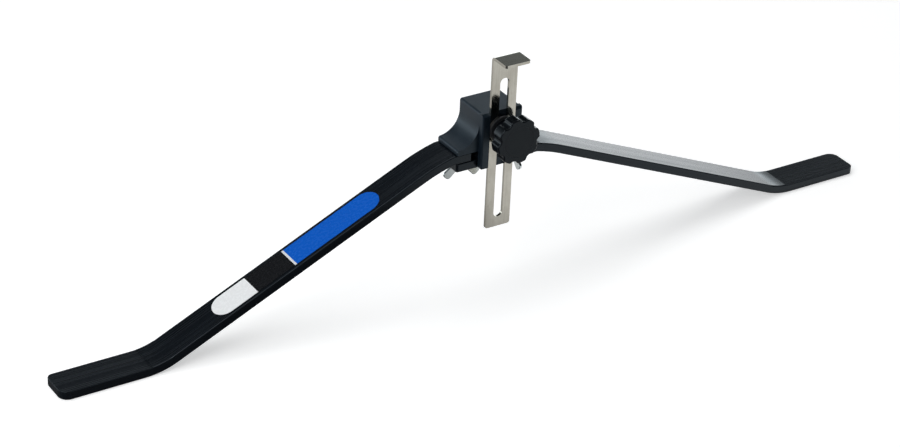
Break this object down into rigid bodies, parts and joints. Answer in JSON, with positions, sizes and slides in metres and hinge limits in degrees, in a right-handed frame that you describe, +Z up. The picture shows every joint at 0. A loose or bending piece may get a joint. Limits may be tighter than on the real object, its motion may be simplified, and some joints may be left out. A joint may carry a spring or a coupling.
{
  "type": "wheel dishing gauge",
  "caption": "Folding arched gauge with flat feet that rest on a wheel rim and a clamped sliding indicator for setting rim dish",
  "frame": {"origin": "centre of the gauge's box, on the plane that the undersides of the two feet rest on", "axes": "+X along the arms to the right as seen from the knob, +Y to the back, away from the knob, +Z up"},
  "size_m": [0.6484, 0.0522, 0.1762],
  "materials": {
    "hub_coating": "blue-grey black coating on cast metal, satin",
    "arm_anodised": "black oxide over drawn flat steel bar, satin with fine lengthwise drawing lines",
    "label_film": "plain printed film in white, black and blue fields",
    "zinc_plate": "bright zinc plate",
    "indicator_steel": "polished nickel-plated steel strip, slightly warm",
    "black_washer": "black oxide washer",
    "knob_plastic": "moulded black plastic, satin",
    "insert_brass": "turned brass insert"
  },
  "bodies": {
    "hub": {"hub_body": "hub_coating", "right_arm": "arm_anodised", "left_stud": "zinc_plate", "right_stud": "zinc_plate", "clamp_bolt": "zinc_plate"},
    "left_arm": {"left_arm": "arm_anodised", "arm_label": "label_film"},
    "indicator": {"indicator": "indicator_steel"},
    "knob_washer": {"knob_washer": "black_washer"},
    "knob": {"knob": "knob_plastic", "knob_cap": "knob_plastic", "knob_insert": "insert_brass"},
    "left_nut_washer": {"left_nut_washer": "zinc_plate"},
    "left_wing_nut": {"left_wing_nut": "zinc_plate"},
    "right_nut_washer": {"right_nut_washer": "zinc_plate"},
    "right_wing_nut": {"right_wing_nut": "zinc_plate"}
  },
  "joints": [
    {"name": "indicator_slide", "type": "slide", "parent": "hub", "child": "indicator", "axis": [0, 0, 1], "range_m": [-0.035, 0.0645]},
    {"name": "left_arm_fold", "type": "hinge", "parent": "hub", "child": "left_arm", "pos_m": [0.02, 0.0128, 0.1048], "axis": [0, 0, 1], "range_deg": [-170, 0]},
    {"name": "knob_travel", "type": "slide", "parent": "hub", "child": "knob_washer", "axis": [0, -1, 0], "range_m": [0, 0.002]},
    {"name": "knob_turn", "type": "hinge", "parent": "knob_washer", "child": "knob", "pos_m": [0, -0.0169, 0.1203], "axis": [0, -1, 0], "range_deg": [0, 721]},
    {"name": "left_nut_travel", "type": "slide", "parent": "hub", "child": "left_nut_washer", "axis": [0, 0, -1], "range_m": [0, 0.002]},
    {"name": "left_nut_turn", "type": "hinge", "parent": "left_nut_washer", "child": "left_wing_nut", "pos_m": [-0.02, 0.0128, 0.089], "axis": [0, 0, -1], "range_deg": [0, 721]},
    {"name": "right_nut_travel", "type": "slide", "parent": "hub", "child": "right_nut_washer", "axis": [0, 0, -1], "range_m": [0, 0.002]},
    {"name": "right_nut_turn", "type": "hinge", "parent": "right_nut_washer", "child": "right_wing_nut", "pos_m": [0.02, 0.0128, 0.089], "axis": [0, 0, -1], "range_deg": [0, 721]}
  ],
  "couplings": [
    {"joint": "knob_turn", "follows": "knob_travel", "rad_per_m": 6283.2},
    {"joint": "left_nut_turn", "follows": "left_nut_travel", "rad_per_m": 6283.2},
    {"joint": "right_nut_turn", "follows": "right_nut_travel", "rad_per_m": 6283.2}
  ]
}
